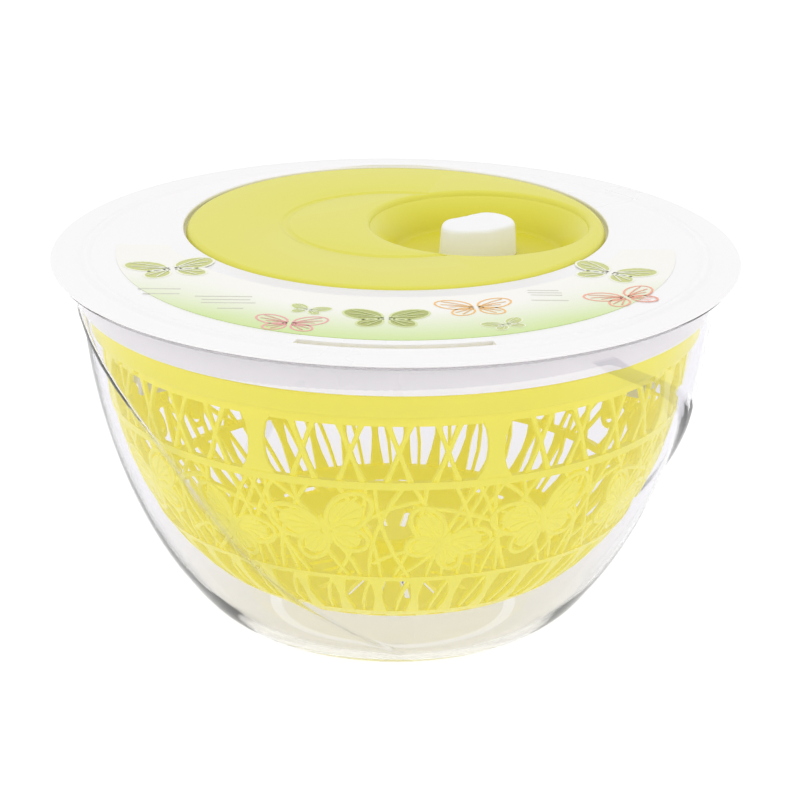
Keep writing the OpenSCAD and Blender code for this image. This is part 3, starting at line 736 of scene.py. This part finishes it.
pan_profile = (
    [(housing_r, deep_z - pan_t), (deep_r + pan_t - 1 * mm, deep_z - pan_t),
     (deep_r + pan_t, deep_z - pan_t + 1 * mm), (deep_r + pan_t, ledge_z - pan_t),
     (pan_r + pan_t - 1 * mm, ledge_z - pan_t), (pan_r + pan_t, ledge_z - pan_t + 1 * mm),
     (pan_r + pan_t, lid_z + 0.2 * mm), (pan_r, lid_z + 0.2 * mm), (pan_r, ledge_z + 0.8 * mm),
     (pan_r - 0.8 * mm, ledge_z), (deep_r, ledge_z), (deep_r, deep_z + 0.8 * mm),
     (deep_r - 0.8 * mm, deep_z), (housing_r, deep_z), (housing_r, deep_z - pan_t)]
)
pan = lathe("lid_pan", pan_profile, centre=(0, disc_y), steps=180, closed=True)
boss_ring_r = 59.6 * mm
boss_low, boss_high = deep_z - 0.5 * mm, deep_z + 1.2 * mm
boss_r, boss_bore_r = 3.2 * mm, 1.35 * mm
boss_profile = [(boss_bore_r, boss_low), (boss_r, boss_low), (boss_r, boss_high - 0.2 * mm),
                (boss_r - 0.3 * mm, boss_high), (boss_bore_r, boss_high), (boss_bore_r, boss_low)]
bosses = []
for turned in (45, 135, 225, 315):
    a = radians(turned)
    boss_place = (boss_ring_r * cos(a), disc_y + boss_ring_r * sin(a))
    bosses.append(lathe("screw_boss", boss_profile, centre=boss_place, steps=24, closed=True))
join([lid, pan] + bosses)
smooth(lid)


def shade_and_glow_by_height(material, low, high, colour, glow=0):
    """Below the heights low to high, blends a material's colour towards a painted shade colour and
    adds a painted glow (emission) in that colour.
    """
    tree = material.node_tree
    skin = tree.nodes["Principled BSDF"]
    place = tree.nodes.new("ShaderNodeTexCoord")
    split = tree.nodes.new("ShaderNodeSeparateXYZ")
    tree.links.new(place.outputs["Object"], split.inputs["Vector"])
    depth = tree.nodes.new("ShaderNodeMapRange")
    depth.inputs["From Min"].default_value = high
    depth.inputs["From Max"].default_value = low
    tree.links.new(split.outputs["Z"], depth.inputs["Value"])
    painted_shade_mix = tree.nodes.new("ShaderNodeMix")
    painted_shade_mix.data_type = "RGBA"
    painted_shade_mix.inputs["B"].default_value = (*colour, 1)
    tree.links.new(depth.outputs["Result"], painted_shade_mix.inputs["Factor"])
    tree.links.new(skin.inputs["Base Color"].links[0].from_socket, painted_shade_mix.inputs["A"])
    tree.links.new(painted_shade_mix.outputs["Result"], skin.inputs["Base Color"])
    # Painted glow: emission that stands in for light falling on the shaded lower parts.
    if glow:
        lit = tree.nodes.new("ShaderNodeMath")
        lit.operation = "MULTIPLY"
        lit.inputs[1].default_value = glow
        tree.links.new(depth.outputs["Result"], lit.inputs[0])
        skin.inputs["Emission Color"].default_value = (*colour, 1)
        tree.links.new(lit.outputs["Value"], skin.inputs["Emission Strength"])


lid_white = moulded_plastic("lid_white", (0.87, 0.86, 0.85), 0.28, 0.01, 700, 0.02)
# Below the plate the lid glows a little: a painted glow that brightens the shaded skirt and pan
# seen through the bowl.
shade_and_glow_by_height(lid_white, lid_z - 2 * mm, lid_z, (0.88, 0.86, 0.84), glow=0.22)
paint(lid, lid_white)
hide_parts("lid")
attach(lid, "lid")

# --- Label ----------------------------------------------------------------------------------
# Printed film label, cut as a crescent and laid on the lid in front of the crank disc. It
# fades from cream to pale green at the front, with plain butterflies in soft colours.
label_low, label_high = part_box("label")
label_r = label_high.x
label_gap = 9.8 * mm
inner_r = disc_r + label_gap
label = lathe("lid_label", [(label_r, label_low.z + 0.02 * mm), (label_r, label_high.z)],
              steps=240, cap_start=True, cap_end=True)
cut(label, lathe("inner_edge", [(inner_r, label_low.z - 1 * mm), (inner_r, label_high.z + 1 * mm)],
                 centre=(0, disc_y), steps=240, cap_start=True, cap_end=True))
bpy.ops.object.select_all(action="DESELECT")
bpy.ops.mesh.primitive_cube_add(size=1)
back_cut = bpy.context.object
back_cut.scale = (300 * mm, 200 * mm, 10 * mm)
back_cut.location = (0, label_high.y + 100 * mm, label_low.z)
bpy.ops.object.transform_apply(location=True, rotation=True, scale=True)
cut(label, back_cut)
smooth(label, 30)

label_film = bpy.data.materials.new("label_film")
label_film.use_nodes = True
tree = label_film.node_tree
film = tree.nodes["Principled BSDF"]
film.inputs["Roughness"].default_value = 0.35
place = tree.nodes.new("ShaderNodeTexCoord")
flat_place = tree.nodes.new("ShaderNodeVectorMath")
flat_place.operation = "MULTIPLY"
flat_place.inputs[1].default_value = (1, 1, 0)
tree.links.new(place.outputs["Object"], flat_place.inputs[0])
from_axis = tree.nodes.new("ShaderNodeVectorMath")
from_axis.operation = "LENGTH"
tree.links.new(flat_place.outputs["Vector"], from_axis.inputs[0])
outward = tree.nodes.new("ShaderNodeMapRange")
outward.inputs["From Min"].default_value = 72 * mm
outward.inputs["From Max"].default_value = label_r
tree.links.new(from_axis.outputs["Value"], outward.inputs["Value"])
split = tree.nodes.new("ShaderNodeSeparateXYZ")
tree.links.new(place.outputs["Object"], split.inputs["Vector"])
forward = tree.nodes.new("ShaderNodeMapRange")
forward.inputs["From Min"].default_value = -30 * mm
forward.inputs["From Max"].default_value = -78 * mm
tree.links.new(split.outputs["Y"], forward.inputs["Value"])
both = tree.nodes.new("ShaderNodeMath")
both.operation = "MULTIPLY"
tree.links.new(outward.outputs["Result"], both.inputs[0])
tree.links.new(forward.outputs["Result"], both.inputs[1])
fade_ramp = tree.nodes.new("ShaderNodeValToRGB")
fade_ramp.color_ramp.elements[0].color = (0.86, 0.85, 0.79, 1)
fade_ramp.color_ramp.elements[1].color = (0.58, 0.73, 0.27, 1)
tree.links.new(both.outputs["Value"], fade_ramp.inputs["Fac"])
tree.links.new(fade_ramp.outputs["Color"], film.inputs["Base Color"])
paint(label, label_film)
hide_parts("label")
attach(label, "lid")


ink_t = 0.02 * mm


def ink(name, colour):
    """Printing ink: a matte colour, broken up a little as halftone is."""
    material = bpy.data.materials.new(name)
    material.use_nodes = True
    tree = material.node_tree
    layer = tree.nodes["Principled BSDF"]
    layer.inputs["Roughness"].default_value = 0.45
    place = tree.nodes.new("ShaderNodeTexCoord")
    dots = tree.nodes.new("ShaderNodeTexNoise")
    dots.inputs["Scale"].default_value = 700
    tree.links.new(place.outputs["Object"], dots.inputs["Vector"])
    tone = tree.nodes.new("ShaderNodeMix")
    tone.data_type = "RGBA"
    tone.inputs["A"].default_value = (*[c * 0.92 for c in colour], 1)
    tone.inputs["B"].default_value = (*[min(1, c * 1.06 + 0.02) for c in colour], 1)
    tree.links.new(dots.outputs["Fac"], tone.inputs["Factor"])
    tree.links.new(tone.outputs["Result"], layer.inputs["Base Color"])
    return material


def print_on_label(material):
    """Closes a flat net and lays it on the label as a thin coat of ink."""
    bpy.ops.object.mode_set(mode="OBJECT")
    coat = bpy.context.object
    coat.data.transform(Matrix.Translation((0, 0, label_high.z)))
    bpy.ops.object.mode_set(mode="EDIT")
    bpy.ops.mesh.select_all(action="SELECT")
    bpy.ops.mesh.normals_make_consistent(inside=False)
    net = bmesh.from_edit_mesh(coat.data)
    for face in net.faces:
        if face.normal.z < 0:
            face.normal_flip()
    bmesh.update_edit_mesh(coat.data)
    bpy.ops.object.mode_set(mode="OBJECT")
    shape(coat, "SOLIDIFY", thickness=ink_t, offset=1)
    paint(coat, material)
    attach(coat, "lid")


prints = [  # name, outline colour, fill colour or none, and centre x, y, span and turn of each
    ("olive", (0.84, 0.85, 0.70), (0.56, 0.59, 0.20), [(-80, -26, 33, 14), (77, -26, 31, -24)]),
    ("moss", (0.84, 0.86, 0.66), (0.56, 0.62, 0.22), [(-30, -71, 15, -20), (38, -85, 16, 30)]),
    ("leaf", (0.66, 0.72, 0.34), (0.40, 0.44, 0.11), [(-3, -80, 30, 0)]),
    ("pink", (0.86, 0.35, 0.36), None, [(-36, -86, 25, -8)]),
    ("orange", (0.88, 0.50, 0.14), None, [(28, -67, 27, 10)]),
    ("salmon", (0.88, 0.36, 0.24), None, [(81, -54, 27, 28)]),
]
for name, outline, fill, places in prints:
    if fill:
        bare_net("print_%s_wings" % name)
        for x, y, span, turn in places:
            wing_fill((x * mm, y * mm), span * mm, turn, 0.01 * mm)
        print_on_label(ink("ink_%s_wings" % name, fill))
    bare_net("print_%s" % name)
    for x, y, span, turn in places:
        butterfly((x * mm, y * mm), span * mm, turn, span * 0.028 * mm, 0.05 * mm)
    print_on_label(ink("ink_%s" % name, outline))
bare_net("print_bars")
bar_rows = [  # middle x, y and length of each plain bar
    (-83, -49, 15), (-82, -54.5, 13), (-60, -57, 20), (-59, -60.5, 17), (-58, -64, 19),
    (-57, -70, 9), (52, -47, 11), (52.5, -49.6, 12), (53, -52.2, 11), (54, -58, 13),
]
for x, y, length in bar_rows:
    strip(line(((x - length / 2) * mm, y * mm), ((x + length / 2) * mm, y * mm), 1),
          0.7 * mm, 0.03 * mm)
print_on_label(ink("ink_grey", (0.62, 0.61, 0.52)))

# --- Crank disc -----------------------------------------------------------------------------
# Lime polypropylene disc, moulded in one piece, with a rolled edge, a shallow round groove,
# a finger well with a soft lip, and the axle it turns on underneath.
disc_low, disc_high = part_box("turning_disc")
disc_top = disc_high.z
disc_edge_low = disc_top - 6.8 * mm
disc_t = 2 * mm
well = (31.3 * mm, disc_y + 3.2 * mm)
well_floor = disc_top - 12.1 * mm
well_floor_r = 32 * mm
well_r = 41.2 * mm
well_base = well_floor - disc_t
groove_in, groove_out = 40.1 * mm, 43.3 * mm
groove_deep = 0.5 * mm
edge_curve = 2.8 * mm
edge_in_r = disc_r - disc_t
screw_hole_r = 1.33 * mm
disc_profile = (
    [(5 * mm, disc_top - disc_t), (edge_in_r - 1 * mm, disc_top - disc_t),
     (edge_in_r, disc_top - disc_t - 1 * mm), (edge_in_r, disc_edge_low + 0.3 * mm),
     (edge_in_r + 0.3 * mm, disc_edge_low), (disc_r - 0.4 * mm, disc_edge_low),
     (disc_r, disc_edge_low + 0.4 * mm)]
    + arc(disc_r - edge_curve, disc_top - edge_curve, edge_curve, 0, 90, 8)
    + [(groove_out + 0.5 * mm, disc_top), (groove_out, disc_top - 0.12 * mm),
       (groove_out - 0.5 * mm, disc_top - groove_deep),
       (groove_in + 0.5 * mm, disc_top - groove_deep),
       (groove_in, disc_top - 0.12 * mm), (groove_in - 0.5 * mm, disc_top), (5 * mm, disc_top)]
)
disc = lathe("lime_disc", disc_profile, centre=(0, disc_y), steps=216, cap_start=True, cap_end=True)
cup_profile = [
    (4 * mm, well_base), (well_floor_r + disc_t - 1.5 * mm, well_base),
    (well_floor_r + disc_t, well_base + 1 * mm), (well_r + disc_t, disc_top - disc_t - 0.2 * mm),
    (well_r + disc_t, disc_top - 0.3 * mm), (4 * mm, disc_top - 0.3 * mm),
]
cut(disc, lathe("well_cup", cup_profile, centre=well, steps=180, cap_start=True, cap_end=True),
    operation="UNION")
lip = 2.4 * mm
lip_r = well_r + 0.9 * lip
hollow_profile = (
    [(4.5 * mm, well_floor), (well_floor_r - 2 * mm, well_floor),
     (well_floor_r - 0.9 * mm, well_floor + 0.25 * mm), (well_floor_r, well_floor + 1 * mm),
     (well_floor_r + 0.7 * mm, well_floor + 2.1 * mm), (well_r - 1.9 * mm, disc_top - lip)]
    + arc(lip_r, disc_top - lip, lip, 165, 90, 8)
    + [(lip_r, disc_top + 2 * mm), (4.5 * mm, disc_top + 2 * mm)]
)
cut(disc, lathe("well_hollow", hollow_profile, centre=well, steps=180,
                cap_start=True, cap_end=True))
bush_hole_r = 5.72 * mm
cut(disc, lathe("spindle_hole", [(bush_hole_r, well_floor - 2 * disc_t),
                                 (bush_hole_r, well_floor + 2 * disc_t)],
                centre=well, steps=64, cap_start=True, cap_end=True))
axle_r = 6 * mm
axle_low = disc_low.z
axle_top = well_base + 0.4 * mm
collar_r = 8.4 * mm
collar_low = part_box("disc_bush")[1].z + 0.1 * mm
axle_profile = [
    (screw_hole_r, axle_low + 6 * mm), (screw_hole_r, axle_low), (axle_r - 0.4 * mm, axle_low),
    (axle_r, axle_low + 0.4 * mm), (axle_r, collar_low), (collar_r - 0.3 * mm, collar_low),
    (collar_r, collar_low + 0.3 * mm), (collar_r, axle_top),
]
axle = lathe("disc_axle", axle_profile, centre=(0, disc_y), steps=72, cap_start=True, cap_end=True)
gear_boss_r = 3.6 * mm
gear_boss_ring_r = 36 * mm
gear_boss_profile = [
    (screw_hole_r, well_floor + 2.5 * mm), (screw_hole_r, well_base),
    (gear_boss_r - 0.2 * mm, well_base), (gear_boss_r, well_base + 0.2 * mm),
    (gear_boss_r, disc_top - disc_t + 0.4 * mm),
]
gear_bosses = []
for turned in (95, 185, 275):
    a = radians(turned)
    boss_place = (gear_boss_ring_r * cos(a), disc_y + gear_boss_ring_r * sin(a))
    gear_bosses.append(lathe("gear_boss", gear_boss_profile, centre=boss_place, steps=32,
                             cap_start=True, cap_end=True))
join([disc, axle] + gear_bosses)
smooth(disc)
disc_lime = moulded_plastic("disc_lime", (0.695, 0.66, 0.062), 0.34, 0.015, 420, 0.05)
# The well's floor and lower walls take a deeper, darker lime: painted shade for the recess.
shade_and_glow_by_height(disc_lime, well_floor + 1 * mm, disc_top - 1.5 * mm, (0.66, 0.60, 0.008))
paint(disc, disc_lime)
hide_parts("turning_disc")
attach(disc, "crank")

# --- Knob -----------------------------------------------------------------------------------
# White hollow knob with a thumb hollow at the back left and a blunt corner in front. It is
# moulded with its spindle, which turns in the bush in the well's floor.
knob_low, knob_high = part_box("knob")
knob_foot = well_floor + 0.3 * mm
knob_top = knob_high.z
knob_r = 14.3 * mm
knob_shape = [  # direction in degrees and reach in millimetres of each corner of the knob's plan
    (0, 14.3), (35, 14.0), (62, 13.7), (79, 12.9), (94, 10.4), (127, 8.3), (157, 9.9), (175, 13.4),
    (215, 17.6), (230, 17.6), (261, 14.0), (312, 12.4), (347, 14.3), (360, 14.3),
]


def knob_reach(direction):
    """Reach of the knob's plan in a direction, as a share of knob_r, with its corners softened."""
    total = 0
    offsets = (-6, -3, 0, 3, 6)
    for offset in offsets:
        d = (direction + offset) % 360
        for (d0, r0), (d1, r1) in zip(knob_shape, knob_shape[1:]):
            if d0 <= d <= d1:
                total += r0 + (r1 - r0) * (d - d0) / (d1 - d0)
                break
    return total * mm / len(offsets) / knob_r


knob_profile = (
    [(knob_r * 0.98, knob_foot), (knob_r, knob_foot + 0.3 * mm),
     (knob_r * 0.955, knob_top - 1.8 * mm)]
    + arc(knob_r * 0.945 - 1.5 * mm, knob_top - 1.6 * mm, 1.5 * mm, 15, 80, 5)
    + [(knob_r * 0.70, knob_top), (knob_r * 0.45, knob_top - 0.15 * mm),
       (knob_r * 0.2, knob_top - 0.3 * mm)]
)
knob = lathe("white_knob", knob_profile, steps=120, cap_start=True, cap_end=True)
for v in knob.data.vertices:
    reach = knob_reach(-degrees(Vector((1, 0)).angle_signed(Vector((v.co.x, v.co.y)), 0)))
    near = min(1, hypot(v.co.x, v.co.y) / knob_r)
    scale = 1 + (reach - 1) * min(1, near * 1.4)
    v.co.x = v.co.x * scale + well[0]
    v.co.y = v.co.y * scale + well[1]
spindle_r = 4 * mm
spindle_low = knob_low.z
spindle_profile = [
    (screw_hole_r, spindle_low + 5 * mm), (screw_hole_r, spindle_low),
    (spindle_r - 0.3 * mm, spindle_low), (spindle_r, spindle_low + 0.3 * mm),
    (spindle_r, knob_foot + 1 * mm),
]
spindle = lathe("knob_spindle", spindle_profile, centre=well, steps=48,
                cap_start=True, cap_end=True)
join([knob, spindle])
smooth(knob)
# The small glow is painted light: emission that lifts the knob's shaded sides.
knob_white = moulded_plastic("knob_white", (0.80, 0.80, 0.785), 0.28, 0.01, 600, 0.02, glow=0.05)
paint(knob, knob_white)
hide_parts("knob")
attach(knob, "knob")

# --- Drive under the lid --------------------------------------------------------------------
# White housing and driver, off-white acetal gears and bushes, and steel screws and washers.
# Their shapes are the frame's own; each gets the finish of its material.
housing_white = moulded_plastic("housing_white", (0.88, 0.87, 0.86), 0.38, 0.012, 500, 0.04)
gear_acetal = moulded_plastic("gear_acetal", (0.84, 0.83, 0.78), 0.45, 0.02, 800, 0.05)


def turned_steel(name):
    """Bright turned steel with a slight grain in colour and gloss."""
    material = bpy.data.materials.new(name)
    material.use_nodes = True
    tree = material.node_tree
    metal = tree.nodes["Principled BSDF"]
    metal.inputs["Metallic"].default_value = 1
    place = tree.nodes.new("ShaderNodeTexCoord")
    grain = tree.nodes.new("ShaderNodeTexNoise")
    grain.inputs["Scale"].default_value = 1500
    tree.links.new(place.outputs["Object"], grain.inputs["Vector"])
    tone = tree.nodes.new("ShaderNodeMix")
    tone.data_type = "RGBA"
    tone.inputs["A"].default_value = (0.52, 0.53, 0.55, 1)
    tone.inputs["B"].default_value = (0.68, 0.69, 0.71, 1)
    tree.links.new(grain.outputs["Fac"], tone.inputs["Factor"])
    tree.links.new(tone.outputs["Result"], metal.inputs["Base Color"])
    gloss = tree.nodes.new("ShaderNodeMapRange")
    gloss.inputs["To Min"].default_value = 0.22
    gloss.inputs["To Max"].default_value = 0.4
    tree.links.new(grain.outputs["Fac"], gloss.inputs["Value"])
    tree.links.new(gloss.outputs["Result"], metal.inputs["Roughness"])
    return material


screw_steel = turned_steel("screw_steel")
finishes = {
    housing_white: ["gear_housing", "driver"],
    gear_acetal: ["ring_gear", "pinion", "basket_bush", "disc_bush", "pinion_bush", "knob_bush"],
    screw_steel: ["housing_screws", "ring_gear_screws", "disc_washer", "disc_screw",
                  "driver_washer", "driver_screw", "knob_washer", "knob_screw"],
}
for material, names in finishes.items():
    for name in names:
        for slot in nodes[name].material_slots:
            slot.material = material
